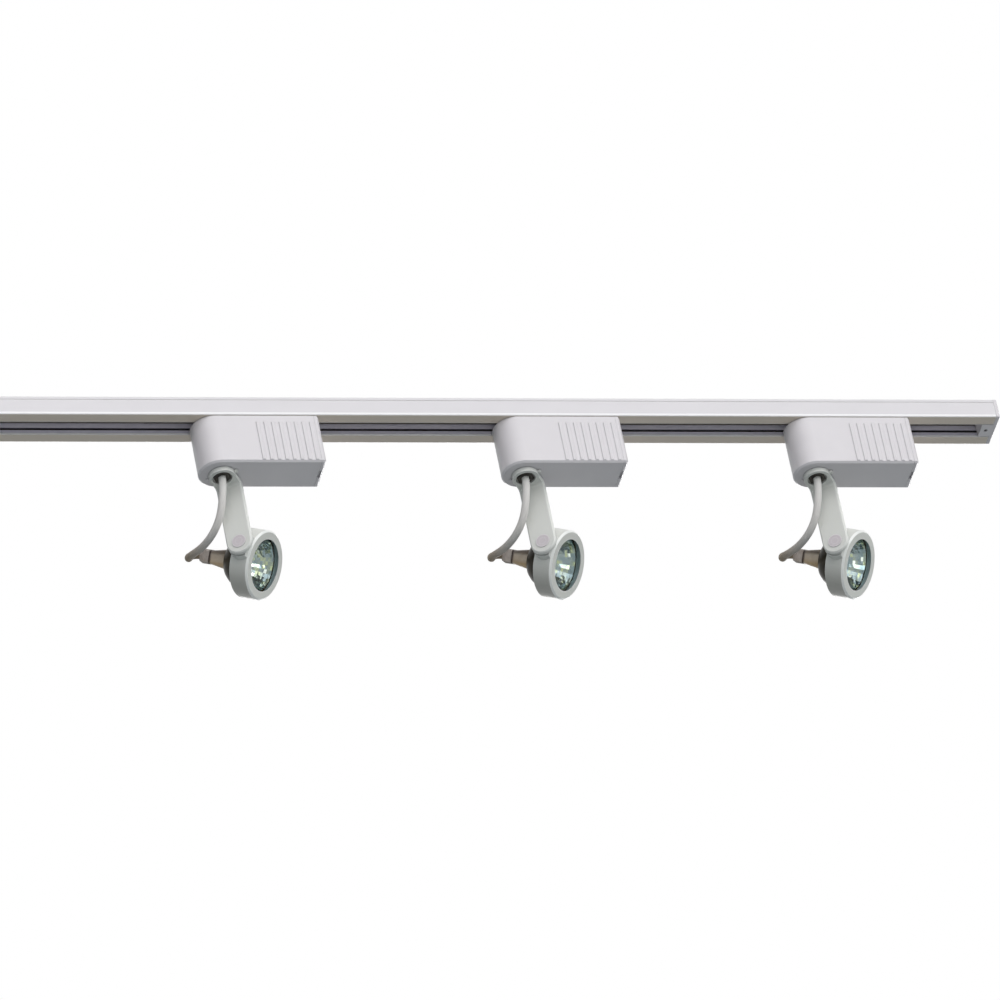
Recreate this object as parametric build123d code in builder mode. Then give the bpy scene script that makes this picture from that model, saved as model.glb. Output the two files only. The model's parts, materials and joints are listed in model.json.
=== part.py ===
from build123d import *
from math import atan2, cos, degrees, pi, radians, sin, tan
import os

# A straight lighting track with three low-voltage spot heads, in millimetres.
# The origin is the centre of the track's ceiling face, +X runs along the track,
# +Y goes to the back and +Z goes up to the ceiling.

# Gaps: between pieces that sit on each other, and round a piece in its pocket
SEAT = 0.05
PLAY = 0.1
RUNNING_CLEARANCE = 0.06

# Track
TRACK_LENGTH = 914.4
TRACK_WIDTH = 37.3
TRACK_HEIGHT = 18.0
TRACK_WALL = 1.6
TRACK_EDGE_RADIUS = 1.2
SLOT_WIDTH = 16.6
SLOT_EDGE = 0.5
SHADOW_LINE_DROP = 3.0
SHADOW_LINE_WIDTH = 0.8
SHADOW_LINE_DEPTH = 0.2
CEILING_HOLE_SPACING = 812.8
CEILING_HOLE_RADIUS = 2.5

# Insulators and bus bars, as distances from the track's middle and from its top
INSULATOR_FACE = 11.2
INSULATOR_TOP = 4.1
GROOVE_TOP = 8.9
GROOVE_BOTTOM = 11.3
GROOVE_FLOOR = 14.4
BUS_WIDTH = 1.4
BUS_FACE = GROOVE_FLOOR - BUS_WIDTH
BUS_HEIGHT = 1.8
BUS_END_GAP = 8.0
BUS_FEED_REACH = 16.0

# Track ends
CAP_THICKNESS = 3.0
CAP_SEAM = 0.15
CAP_EDGE = 0.4
PLUG_WIDTH = 15.6
PLUG_LENGTH = 9.5
PLUG_TOP = 2.2
END_SCREW_RADIUS = 1.5
END_SCREW_INSET = 4.7
END_SCREW_RECESS = 1.0
FEED_LENGTH = 50.0
FEED_WALL = 2.0
FEED_POST = (9.0, 6.0)

# Head positions: the swivel axes along the track
HEAD_X = (-210.6, 45.8, 296.1)

# Transformer housing
HEAD_GAP = 0.25
HOUSING_TOP = -TRACK_HEIGHT - HEAD_GAP
HOUSING_HEIGHT = 47.0
HOUSING_BOTTOM = HOUSING_TOP - HOUSING_HEIGHT
HOUSING_DEPTH = 35.5
HOUSING_REACH = 84.8
ROUND_END_X = -1.7
HOUSING_WALL = 2.0
HOUSING_EDGE = 1.5
COVER_THICKNESS = 4.0
COVER_SEAM = 0.12
SHELL_END = HOUSING_REACH - COVER_THICKNESS
SPIGOT_DEPTH = 4.0
SPIGOT_PLAY = 0.3
PRY_NOTCH = (2.2, 9.4, 2.0)
RIB_COUNT = 8
RIB_PITCH = 6.4
RIB_WIDTH = 3.0
RIB_HEIGHT = 0.7
RIB_TAPER = 35.0
RIBS_START = HOUSING_REACH - 52.2
RIBS_DROP = 6.3

# Track adapter, a cam that is turned to lock over the slot's lips
ADAPTER_X = 36.0
ADAPTER_NECK_RADIUS = 7.6
ADAPTER_FLANGE = (30.0, 24.0, 2.5)
CAM_RADIUS = 10.6
CAM_BOTTOM = TRACK_WALL - TRACK_HEIGHT + PLAY
CAM_HEIGHT = 8.4
CONTACT_INNER = 6.0
CONTACT_WIDTH = 6.0
CONTACT_THICKNESS = 1.6
CONTACT_GAP = 0.1

# Transformer block
TRANSFORMER = (50.0, 24.0, 29.0)
TRANSFORMER_EDGE = 2.0
TRANSFORMER_X = 50.5

# Swivel
HUB_RADIUS = 11.1
HUB_GAP = 0.3
HUB_TOP = HOUSING_BOTTOM - HUB_GAP
HUB_WEB = 1.5
HUB_RIM = HOUSING_BOTTOM - 4.2
CUP_RADIUS = 8.25
NIPPLE_RADIUS = 5.0
NIPPLE_BORE = 3.6
NIPPLE_TOP = HOUSING_BOTTOM + 7.5
NIPPLE_BOTTOM = HUB_RIM + 0.4
NUT_RADIUS = 7.6
UPPER_NUT_HEIGHT = 3.5
LOWER_NUT_HEIGHT = 1.7
LOWER_NUT_PLAY = 0.15
STOP_RADIUS = 12.6
STOP_PIN_RADIUS = 1.0
STOP_PIN_DROP = 0.9
STOP_LUG = (3.4, 2.6, 2.2)
STOP_LUG_ANGLE = 4.0

# Arm and tilt pivot, in the arm's own frame
SWIVEL_REST = 34.0
TILT_REST = 32.0
ARM_WIDTH = 22.0
ARM_NEAR = 13.0
ARM_THICKNESS = 3.5
ARM_EDGE = 1.0
TONGUE_TOP = HOUSING_BOTTOM - 1.4
TONGUE_BOTTOM = HOUSING_BOTTOM - 4.0
ARM_BEND_RADIUS = 5.0
PIVOT_Z = -125.2
PIVOT_RADIUS = 3.0
RIVET_HEAD_RADIUS = 6.0
RIVET_HEAD = 0.5
RIVET_END = 21.6
WASHER_RADIUS = 7.5
WASHER_THICKNESS = 0.7
LAMP_OFFSET = 50.5

# Gimbal ring, along the lamp's axis from the pivot
RING_RADIUS = 28.8
RING_DEPTH = 16.5
RING_EDGE = 1.4
LIP_RADIUS = 21.4
LIP_ROOT_RADIUS = 24.0
LIP_THICKNESS = 4.6
RING_BORE = 25.6
BOSS_NECK_RADIUS = 9.4
BOSS_NEAR = ARM_NEAR + ARM_THICKNESS + WASHER_THICKNESS + SEAT
BOSS_STEP = 18.6
BOSS_RADIUS = 11.4
BOSS_ROOT = 27.2

# Lamp, a faceted glass reflector of 50 mm with a front glass
LAMP_ROLL = 26.5
FACETS = 20
ROUND_SIDES = 12
GLASS_RADIUS = 24.8
GLASS_FRONT = 3.55
GLASS_THICKNESS = 2.0
REFLECTOR_OUTER = (
    (25.0, 1.5), (25.0, 0.0), (23.6, -1.0), (22.9, -8.6), (20.4, -17.1), (16.4, -23.6), (11.5, -28.1)
)
REFLECTOR_INNER = ((23.4, 1.5), (21.9, -6.1), (19.2, -14.1), (14.8, -20.6), (6.0, -26.1))
NECK_ROOT = (17.5, 16.0)
NECK_TIP = (14.5, 10.8)
NECK_TOP = -26.6
NECK_END = -41.0
CAPSULE_RADIUS = 4.4
CAPSULE_TIP = -10.0
CAPSULE_ROOT = -32.6
CAPSULE_PLAY = 0.3
PIN_RADIUS = 0.75
PIN_SIDES = 6
PIN_SPACING = 5.3
PIN_LENGTH = 7.0
PIN_POCKET = 7.4
HOLDER_FRONT = (16.0, 12.0)
HOLDER_STRAIGHT = 5.0
HOLDER_LENGTH = 9.2
HOLDER_TAPER = 20.0
HOLDER_EDGE = 1.2
BOOT_RADIUS = 4.2
BOOT_END = -51.0
CLIP_WIDTH = 6.0
CLIP_THICKNESS = 0.7
CLIP_TOE = 1.4
CLIP_FOOT = 2.0
CLIP_PLAY = 0.22
CLIP_LIFT = 0.15
CLIP_ANGLES = (30.0, 150.0, 270.0)

# Sleeved cable, as points in the arm's own frame
CABLE_RADIUS = 3.15
CABLE_SIDES = 6
CABLE_LAST_RUN = 4.5
CABLE_ROUTE = [
    (0.0, 0.0, -60.5),
    (0.0, 0.0, -72.5),
    (-3.4, 1.2, -87.5),
    (-8.0, 4.2, -98.8),
    (-14.0, 7.8, -106.4),
    (-22.0, 13.0, -111.0),
    (-32.5, 21.5, -111.2),
    (-42.4, 29.0, -108.8),
    (-48.6, 34.2, -106.0),
    (-52.6, 39.7, -104.3),
    (-53.9, 45.1, -98.2),
    (-51.3, 48.5, -95.7),
]


# Frames of the arm and the lamp, with the head's swivel axis at X = 0
ARM = Plane(
    origin=(0, 0, 0),
    x_dir=(cos(radians(SWIVEL_REST)), -sin(radians(SWIVEL_REST)), 0),
    z_dir=(0, 0, 1),
)
LAMP_CENTRE = ARM.from_local_coords(Vector(0, LAMP_OFFSET, PIVOT_Z))
LAMP_FORWARD = ARM.x_dir * cos(radians(TILT_REST)) - ARM.z_dir * sin(radians(TILT_REST))
LAMP_SIDE = LAMP_FORWARD.cross(ARM.y_dir)
LAMP = Plane(
    origin=LAMP_CENTRE,
    x_dir=ARM.y_dir * cos(radians(LAMP_ROLL)) + LAMP_SIDE * sin(radians(LAMP_ROLL)),
    z_dir=LAMP_FORWARD,
)


def arm_face(depth):
    """The upright plane across the arm at this depth behind the swivel axis, facing forward."""
    return Plane(
        origin=ARM.from_local_coords(Vector(0, depth, 0)), x_dir=ARM.x_dir, z_dir=-ARM.y_dir
    )


def pivot_plane(depth):
    """The plane across the tilt pivot at this depth, with x along the lamp and facing back."""
    return Plane(
        origin=ARM.from_local_coords(Vector(0, depth, PIVOT_Z)), x_dir=LAMP_FORWARD, z_dir=ARM.y_dir
    )


# Track channel: an extruded C section with a slot along its underside
with BuildPart() as track_channel:
    with BuildSketch(Plane.YZ) as channel_section:
        with Locations((0, -TRACK_HEIGHT / 2)):
            Rectangle(TRACK_WIDTH, TRACK_HEIGHT)
            inner_width = TRACK_WIDTH - 2 * TRACK_WALL
            Rectangle(inner_width, TRACK_HEIGHT - 2 * TRACK_WALL, mode=Mode.SUBTRACT)
        with Locations((0, -TRACK_HEIGHT)):
            Rectangle(SLOT_WIDTH, 4 * TRACK_WALL, mode=Mode.SUBTRACT)
        with GridLocations(TRACK_WIDTH, 2 * SHADOW_LINE_DROP, 2, 2):
            Rectangle(2 * SHADOW_LINE_DEPTH, SHADOW_LINE_WIDTH, mode=Mode.SUBTRACT)
        lower_corners = channel_section.vertices().group_by(Axis.Y)[0].sort_by(Axis.X)
        fillet([lower_corners[0], lower_corners[-1]], TRACK_EDGE_RADIUS)
        chamfer([lower_corners[1], lower_corners[2]], SLOT_EDGE)
    extrude(amount=TRACK_LENGTH / 2, both=True)
    with GridLocations(CEILING_HOLE_SPACING, 0, 2, 1):
        Hole(CEILING_HOLE_RADIUS, depth=2 * TRACK_WALL)

# Insulator strips: a grooved liner along each inner side of the channel
with BuildPart() as insulator_strips:
    strip_outer = TRACK_WIDTH / 2 - TRACK_WALL
    strip_bottom = TRACK_HEIGHT - TRACK_WALL
    with BuildSketch(Plane.YZ):
        with Locations((0, -(INSULATOR_TOP + strip_bottom) / 2)):
            Rectangle(2 * strip_outer, strip_bottom - INSULATOR_TOP)
            Rectangle(2 * INSULATOR_FACE, strip_bottom - INSULATOR_TOP, mode=Mode.SUBTRACT)
        with Locations((0, -(GROOVE_TOP + GROOVE_BOTTOM) / 2)):
            Rectangle(2 * GROOVE_FLOOR, GROOVE_BOTTOM - GROOVE_TOP, mode=Mode.SUBTRACT)
    extrude(amount=TRACK_LENGTH / 2, both=True)

# Bus bars: a copper bar in the groove of each strip, carried on into the live end
with BuildPart() as bus_bars:
    with BuildSketch(Plane.YZ.offset(TRACK_LENGTH / 2 - BUS_END_GAP)):
        for side in (-1, 1):
            with Locations((side * (BUS_FACE + BUS_WIDTH / 2), -(GROOVE_TOP + GROOVE_BOTTOM) / 2)):
                Rectangle(BUS_WIDTH, BUS_HEIGHT)
    extrude(amount=BUS_END_GAP - TRACK_LENGTH - BUS_FEED_REACH)


def plug_section():
    """The block that fills the slot at a track end, drawn on the track's end plane."""
    with Locations((0, -(TRACK_HEIGHT + PLUG_TOP) / 2)):
        Rectangle(PLUG_WIDTH, TRACK_HEIGHT - PLUG_TOP)


# End cap: a flush plate with a plug in the slot
with BuildPart() as end_cap:
    with BuildSketch(Plane.YZ.offset(TRACK_LENGTH / 2 + CAP_SEAM)) as cap_plate:
        with Locations((0, -TRACK_HEIGHT / 2)):
            Rectangle(TRACK_WIDTH, TRACK_HEIGHT)
        cap_corners = cap_plate.vertices().group_by(Axis.Y)[0]
        fillet(cap_corners, TRACK_EDGE_RADIUS)
    extrude(amount=CAP_THICKNESS)
    chamfer(end_cap.faces().sort_by(Axis.X)[-1].edges(), CAP_EDGE)
    with BuildSketch(Plane.YZ.offset(TRACK_LENGTH / 2 + CAP_SEAM)):
        plug_section()
    extrude(amount=-PLUG_LENGTH - CAP_SEAM)
    with BuildSketch(Plane.XY.offset(-TRACK_HEIGHT)):
        with Locations((TRACK_LENGTH / 2 - END_SCREW_INSET, 0)):
            RegularPolygon(END_SCREW_RADIUS + PLAY, ROUND_SIDES)
    extrude(amount=TRACK_HEIGHT, mode=Mode.SUBTRACT)

# Live end: a wiring tray past the track's left end, open to the ceiling
with BuildPart() as live_end_feed:
    with BuildSketch(Plane.YZ.offset(-TRACK_LENGTH / 2)) as feed_section:
        with Locations((0, -TRACK_HEIGHT / 2)):
            Rectangle(TRACK_WIDTH, TRACK_HEIGHT)
        feed_corners = feed_section.vertices().group_by(Axis.Y)[0]
        fillet(feed_corners, TRACK_EDGE_RADIUS)
    extrude(amount=-FEED_LENGTH)
    with BuildSketch(Plane.XY):
        with Locations((-(TRACK_LENGTH + FEED_LENGTH) / 2, 0)):
            Rectangle(FEED_LENGTH - 2 * FEED_WALL, TRACK_WIDTH - 2 * FEED_WALL)
    extrude(amount=FEED_WALL - TRACK_HEIGHT, mode=Mode.SUBTRACT)
    bar_bottom = -(GROOVE_TOP + GROOVE_BOTTOM + BUS_HEIGHT) / 2
    with BuildSketch(Plane.XY.offset(bar_bottom - PLAY)):
        for side in (-1, 1):
            with Locations((-TRACK_LENGTH / 2 - BUS_FEED_REACH, side * BUS_FACE)):
                Rectangle(*FEED_POST)
    extrude(until=Until.NEXT, dir=(0, 0, -1))
    with BuildSketch(Plane.YZ.offset(-TRACK_LENGTH / 2)):
        plug_section()
    extrude(amount=PLUG_LENGTH)
    with BuildSketch(Plane.YZ.offset(-TRACK_LENGTH / 2)):
        for side in (-1, 1):
            with Locations((side * (BUS_FACE + BUS_WIDTH / 2), -(GROOVE_TOP + GROOVE_BOTTOM) / 2)):
                Rectangle(BUS_WIDTH + 2 * PLAY, BUS_HEIGHT + 2 * PLAY)
    extrude(amount=-FEED_WALL, mode=Mode.SUBTRACT)
    with BuildSketch(Plane.XY.offset(-TRACK_HEIGHT)):
        with Locations((END_SCREW_INSET - TRACK_LENGTH / 2, 0)):
            RegularPolygon(END_SCREW_RADIUS + PLAY, ROUND_SIDES)
    extrude(amount=TRACK_HEIGHT, mode=Mode.SUBTRACT)

# End screws: the set screws that jam both plugs against the track's top web
with BuildPart() as end_screws:
    with BuildSketch(Plane.XY.offset(-TRACK_WALL - SEAT)):
        with GridLocations(TRACK_LENGTH - 2 * END_SCREW_INSET, 0, 2, 1):
            RegularPolygon(END_SCREW_RADIUS, ROUND_SIDES)
    extrude(amount=END_SCREW_RECESS + TRACK_WALL - TRACK_HEIGHT)


def flat_sided(plane, outlines):
    """A solid through outlines at their heights on a plane, with flat sides between them."""
    rings = []
    for points, height in sorted(outlines, key=lambda outline: -outline[1]):
        rings.append([plane.from_local_coords(Vector(x, y, height)) for x, y in points])
    faces = [Face(Wire.make_polygon(rings[0])), Face(Wire.make_polygon(rings[-1][::-1]))]
    for ring, lower in zip(rings, rings[1:]):
        for index in range(len(ring)):
            after = (index + 1) % len(ring)
            corners = (ring[index], lower[index], lower[after], ring[after])
            faces.append(Face(Wire.make_polygon(corners)))
    return Solid(Shell(faces))


def rectangle_corners(width, height, cut=0.0):
    """The corners of a rectangle about its middle, each cut off by a length along both sides."""
    corners = []
    for x, y, turned in ((1, 1, 0), (-1, 1, 1), (-1, -1, 0), (1, -1, 1)):
        pair = [(x * width / 2, y * (height / 2 - cut)), (x * (width / 2 - cut), y * height / 2)]
        corners += pair[::-1] if turned else pair
    return corners if cut else corners[::2]


def polygon_corners(radius, sides):
    """The corners of a regular polygon, the first one on the right."""
    angles = [2 * pi * index / sides for index in range(sides)]
    return [(radius * cos(angle), radius * sin(angle)) for angle in angles]


def polygon_hole(radius, sides):
    """A many-sided opening that a round piece of this radius goes through."""
    RegularPolygon(radius, sides, major_radius=False, mode=Mode.SUBTRACT)


# Transformer housing: a moulded shell, ribbed on both sides and open at its square end
with BuildPart() as housing:
    with BuildSketch(Plane.XY.offset(HOUSING_BOTTOM)):
        with Locations((ROUND_END_X, 0)):
            Circle(HOUSING_DEPTH / 2)
        with Locations(((SHELL_END + ROUND_END_X) / 2, 0)):
            Rectangle(SHELL_END - ROUND_END_X, HOUSING_DEPTH)
    extrude(amount=HOUSING_HEIGHT)
    bottom_edges = housing.edges().group_by(Axis.Z)[0]
    chamfer(bottom_edges.filter_by(lambda e: e.center().X < SHELL_END - 1), HOUSING_EDGE)
    inner_radius = HOUSING_DEPTH / 2 - HOUSING_WALL
    with BuildSketch(Plane.XY.offset(HOUSING_BOTTOM + HOUSING_WALL)):
        with Locations((ROUND_END_X, 0)):
            RegularPolygon(inner_radius, 2 * ROUND_SIDES)
        with Locations(((SHELL_END + ROUND_END_X) / 2, 0)):
            Rectangle(SHELL_END - ROUND_END_X, 2 * inner_radius)
    extrude(amount=HOUSING_HEIGHT - 2 * HOUSING_WALL, mode=Mode.SUBTRACT)
    rib_length = HOUSING_HEIGHT - RIBS_DROP - HOUSING_EDGE
    rib_z = HOUSING_BOTTOM + HOUSING_EDGE + rib_length / 2
    rib_narrowing = 2 * RIB_HEIGHT * tan(radians(RIB_TAPER))
    rib_foot = rectangle_corners(RIB_WIDTH, rib_length)
    rib_crest = rectangle_corners(RIB_WIDTH - rib_narrowing, rib_length - rib_narrowing)
    for side in (-1, 1):
        for index in range(RIB_COUNT):
            rib_x = RIBS_START + index * RIB_PITCH
            rib_middle = (rib_x, -side * HOUSING_DEPTH / 2, rib_z)
            rib_plane = Plane(rib_middle, x_dir=(1, 0, 0), z_dir=(0, -1, 0))
            add(flat_sided(rib_plane, ((rib_foot, 0), (rib_crest, side * RIB_HEIGHT))))
    with BuildSketch(Plane.XY.offset(HOUSING_TOP)):
        with Locations((ADAPTER_X, 0)):
            RegularPolygon(ADAPTER_NECK_RADIUS + 2 * PLAY, ROUND_SIDES, major_radius=False)
    extrude(amount=-2 * HOUSING_WALL, mode=Mode.SUBTRACT)
    with BuildSketch(Plane.XY.offset(HOUSING_BOTTOM)):
        Circle(NIPPLE_RADIUS + RUNNING_CLEARANCE)
    extrude(amount=2 * HOUSING_WALL, mode=Mode.SUBTRACT)
    with BuildSketch(Plane.XY.offset(HOUSING_BOTTOM)):
        stop_angle = 180 + STOP_LUG_ANGLE - SWIVEL_REST
        with PolarLocations(STOP_RADIUS, 1, start_angle=stop_angle):
            Circle(STOP_PIN_RADIUS)
    extrude(amount=-STOP_PIN_DROP)

# End cover: the square end of the housing, with a spigot and a pry notch
with BuildPart() as end_cover:
    cover_plane = Plane.YZ.offset(SHELL_END + COVER_SEAM)
    cover_middle = (0, HOUSING_TOP - HOUSING_HEIGHT / 2)
    with BuildSketch(cover_plane):
        with Locations(cover_middle):
            Rectangle(HOUSING_DEPTH, HOUSING_HEIGHT)
    extrude(amount=COVER_THICKNESS - COVER_SEAM)
    chamfer(end_cover.faces().sort_by(Axis.Z)[0].edges().filter_by(Axis.X), HOUSING_EDGE)
    chamfer(end_cover.faces().sort_by(Axis.X)[-1].edges(), HOUSING_EDGE)
    spigot_width = HOUSING_DEPTH - 2 * HOUSING_WALL - 2 * SPIGOT_PLAY
    spigot_height = HOUSING_HEIGHT - 2 * HOUSING_WALL - 2 * SPIGOT_PLAY
    with BuildSketch(cover_plane):
        with Locations(cover_middle):
            Rectangle(spigot_width, spigot_height)
            Rectangle(
                spigot_width - 2 * HOUSING_WALL, spigot_height - 2 * HOUSING_WALL, mode=Mode.SUBTRACT
            )
    extrude(amount=-SPIGOT_DEPTH)
    notch_length, notch_width, notch_depth = PRY_NOTCH
    with BuildSketch(Plane.XY.offset(HOUSING_BOTTOM)):
        with Locations((SHELL_END + COVER_SEAM + notch_length / 2, 0)):
            Rectangle(notch_length, notch_width)
    extrude(amount=notch_depth, mode=Mode.SUBTRACT)

# Track adapter: a flange in the housing, a neck through the slot and the locking cam
with BuildPart() as track_adapter:
    flange_length, flange_width, flange_height = ADAPTER_FLANGE
    flange_top = HOUSING_TOP - HOUSING_WALL
    with BuildSketch(Plane.XY.offset(flange_top)):
        with Locations((ADAPTER_X, 0)):
            Rectangle(flange_length, flange_width)
    extrude(amount=-flange_height)
    with BuildSketch(Plane.XY.offset(flange_top)):
        with Locations((ADAPTER_X, 0)):
            RegularPolygon(ADAPTER_NECK_RADIUS, ROUND_SIDES)
    extrude(amount=CAM_BOTTOM - flange_top)
    with BuildSketch(Plane.XY.offset(CAM_BOTTOM)):
        with Locations((ADAPTER_X, 0)):
            RegularPolygon(CAM_RADIUS, ROUND_SIDES)
            Rectangle(2 * ADAPTER_NECK_RADIUS, 2 * CAM_RADIUS, mode=Mode.INTERSECT)
    extrude(amount=CAM_HEIGHT)
    contact_z = -(GROOVE_TOP + GROOVE_BOTTOM) / 2
    with BuildSketch(Plane.XY.offset(contact_z - CONTACT_THICKNESS / 2 - SEAT)):
        pocket_length = BUS_FACE - CONTACT_INNER
        for side in (-1, 1):
            with Locations((ADAPTER_X, side * (CONTACT_INNER - SEAT + pocket_length / 2))):
                Rectangle(CONTACT_WIDTH + 2 * SEAT, pocket_length)
    extrude(amount=CONTACT_THICKNESS + 2 * SEAT, mode=Mode.SUBTRACT)

# Adapter contacts: a brass blade on each side of the cam, up to the bus bars
with BuildPart() as adapter_contacts:
    with BuildSketch(Plane.XY.offset(contact_z - CONTACT_THICKNESS / 2)):
        blade_length = BUS_FACE - CONTACT_GAP - CONTACT_INNER
        for side in (-1, 1):
            with Locations((ADAPTER_X, side * (CONTACT_INNER + blade_length / 2))):
                Rectangle(CONTACT_WIDTH, blade_length)
    extrude(amount=CONTACT_THICKNESS)

# Transformer: a potted block that stands on the housing's floor
with BuildPart() as transformer:
    transformer_length, transformer_width, transformer_height = TRANSFORMER
    with BuildSketch(Plane.XY.offset(HOUSING_BOTTOM + HOUSING_WALL + PLAY)):
        with Locations((TRANSFORMER_X, 0)):
            Rectangle(transformer_length, transformer_width)
    extrude(amount=transformer_height)
    chamfer(transformer.faces().sort_by(Axis.Z)[-1].edges(), TRANSFORMER_EDGE)

# Swivel nipple: the hollow stud through the housing's floor and the arm's hub
with BuildPart() as swivel_nipple:
    with BuildSketch(Plane.XY.offset(NIPPLE_BOTTOM)):
        Circle(NIPPLE_RADIUS)
        polygon_hole(NIPPLE_BORE, ROUND_SIDES)
    extrude(amount=NIPPLE_TOP - NIPPLE_BOTTOM)

# Swivel nuts: one on the housing's floor and one inside the hub's cup
with BuildPart() as swivel_nuts:
    nuts = (
        (HOUSING_BOTTOM + HOUSING_WALL + SEAT, UPPER_NUT_HEIGHT),
        (HUB_TOP - HUB_WEB - LOWER_NUT_PLAY, -LOWER_NUT_HEIGHT),
    )
    for nut_face, nut_height in nuts:
        with BuildSketch(Plane.XY.offset(nut_face)):
            RegularPolygon(NUT_RADIUS, 6)
            polygon_hole(NIPPLE_RADIUS + RUNNING_CLEARANCE, ROUND_SIDES)
        extrude(amount=nut_height)

# Arm: a hub cup that turns on the nipple, and a strap bent down behind it
with BuildPart() as arm:
    arm_far = ARM_NEAR + ARM_THICKNESS
    with BuildSketch(ARM.offset(HUB_TOP)):
        Circle(HUB_RADIUS)
    extrude(amount=HUB_RIM - HUB_TOP)
    with BuildSketch(Plane(origin=(0, 0, 0), x_dir=ARM.y_dir, z_dir=ARM.x_dir)):
        with BuildLine():
            FilletPolyline((0, TONGUE_TOP), (arm_far, TONGUE_TOP), (arm_far, PIVOT_Z), radius=ARM_BEND_RADIUS)
            Line((arm_far, PIVOT_Z), (ARM_NEAR, PIVOT_Z))
            FilletPolyline(
                (ARM_NEAR, PIVOT_Z),
                (ARM_NEAR, TONGUE_BOTTOM),
                (0, TONGUE_BOTTOM),
                radius=ARM_BEND_RADIUS - TONGUE_TOP + TONGUE_BOTTOM,
            )
            Line((0, TONGUE_BOTTOM), (0, TONGUE_TOP))
        make_face()
    extrude(amount=ARM_WIDTH / 2, both=True)
    with BuildSketch(arm_face(ARM_NEAR)):
        with Locations((0, PIVOT_Z)):
            Circle(ARM_WIDTH / 2)
    extrude(amount=-ARM_THICKNESS)
    arm_depth = Axis((0, 0, 0), ARM.y_dir)
    strap_faces = arm.faces().filter_by(arm_depth).sort_by(SortBy.AREA)[-2:]
    strap_edges = strap_faces.sort_by(arm_depth)[0].edges()
    chamfer(strap_edges.sort_by(Axis.Z)[:-1], ARM_EDGE)
    with BuildSketch(ARM.offset(HUB_RIM)):
        RegularPolygon(CUP_RADIUS, 2 * ROUND_SIDES)
    extrude(amount=HUB_TOP - HUB_WEB - HUB_RIM, mode=Mode.SUBTRACT)
    with BuildSketch(ARM.offset(HUB_TOP)):
        Circle(NIPPLE_RADIUS + RUNNING_CLEARANCE)
    extrude(amount=-2 * HUB_WEB, mode=Mode.SUBTRACT)
    with BuildSketch(arm_face(ARM_NEAR)):
        with Locations((0, PIVOT_Z)):
            Circle(PIVOT_RADIUS + RUNNING_CLEARANCE)
    extrude(amount=-ARM_THICKNESS, mode=Mode.SUBTRACT)
    lug_length, lug_width, lug_height = STOP_LUG
    with BuildSketch(ARM.offset(HUB_TOP)):
        with PolarLocations(STOP_RADIUS + STOP_PIN_RADIUS - lug_length / 2, 1, start_angle=STOP_LUG_ANGLE):
            Rectangle(lug_length, lug_width)
    extrude(amount=-lug_height)

# Pivot rivet: a flat head on the arm's face and a shank into the ring's boss
with BuildPart() as pivot_rivet:
    with BuildSketch(arm_face(ARM_NEAR)):
        with Locations((0, PIVOT_Z)):
            RegularPolygon(RIVET_HEAD_RADIUS, 2 * ROUND_SIDES)
    extrude(amount=RIVET_HEAD)
    with BuildSketch(arm_face(ARM_NEAR)):
        with Locations((0, PIVOT_Z)):
            Circle(PIVOT_RADIUS)
    extrude(amount=ARM_NEAR - RIVET_END)

# Friction washer: between the arm and the ring's boss
with BuildPart() as friction_washer:
    with BuildSketch(arm_face(ARM_NEAR + ARM_THICKNESS)):
        with Locations((0, PIVOT_Z)):
            RegularPolygon(WASHER_RADIUS, 2 * ROUND_SIDES)
            polygon_hole(PIVOT_RADIUS + RUNNING_CLEARANCE, ROUND_SIDES)
    extrude(amount=-WASHER_THICKNESS)

# Gimbal ring: a bezel ring with the pivot boss on its side
with BuildPart() as gimbal_ring:
    ring_back = LAMP.offset(-RING_DEPTH / 2)
    with BuildSketch(ring_back):
        Circle(RING_RADIUS)
    extrude(amount=RING_DEPTH)
    lamp_axis = Axis(LAMP_CENTRE, LAMP_FORWARD)
    chamfer(gimbal_ring.edges().sort_by(lamp_axis)[-1], RING_EDGE)
    boss_steps = (
        (BOSS_NECK_RADIUS, BOSS_NEAR, BOSS_STEP),
        (BOSS_RADIUS, BOSS_STEP, BOSS_ROOT),
    )
    for boss_radius, boss_near, boss_far in boss_steps:
        with BuildSketch(pivot_plane(boss_near)):
            Circle(boss_radius)
            with Locations((-RING_EDGE / 2, 0)):
                Rectangle(RING_DEPTH - RING_EDGE, 2 * BOSS_RADIUS, mode=Mode.INTERSECT)
        extrude(amount=boss_far - boss_near)
    with BuildSketch(ring_back):
        RegularPolygon(RING_BORE, 2 * FACETS, major_radius=False)
    extrude(amount=RING_DEPTH - LIP_THICKNESS, mode=Mode.SUBTRACT)
    lip_draft = degrees(atan2(LIP_ROOT_RADIUS - LIP_RADIUS, LIP_THICKNESS))
    with BuildSketch(ring_back.offset(RING_DEPTH - LIP_THICKNESS)):
        Circle(LIP_ROOT_RADIUS)
    extrude(amount=LIP_THICKNESS, taper=lip_draft, mode=Mode.SUBTRACT)
    with BuildSketch(pivot_plane(BOSS_NEAR)):
        Circle(PIVOT_RADIUS + RUNNING_CLEARANCE)
    extrude(amount=RIVET_END + 2 * PLAY - BOSS_NEAR, mode=Mode.SUBTRACT)

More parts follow.
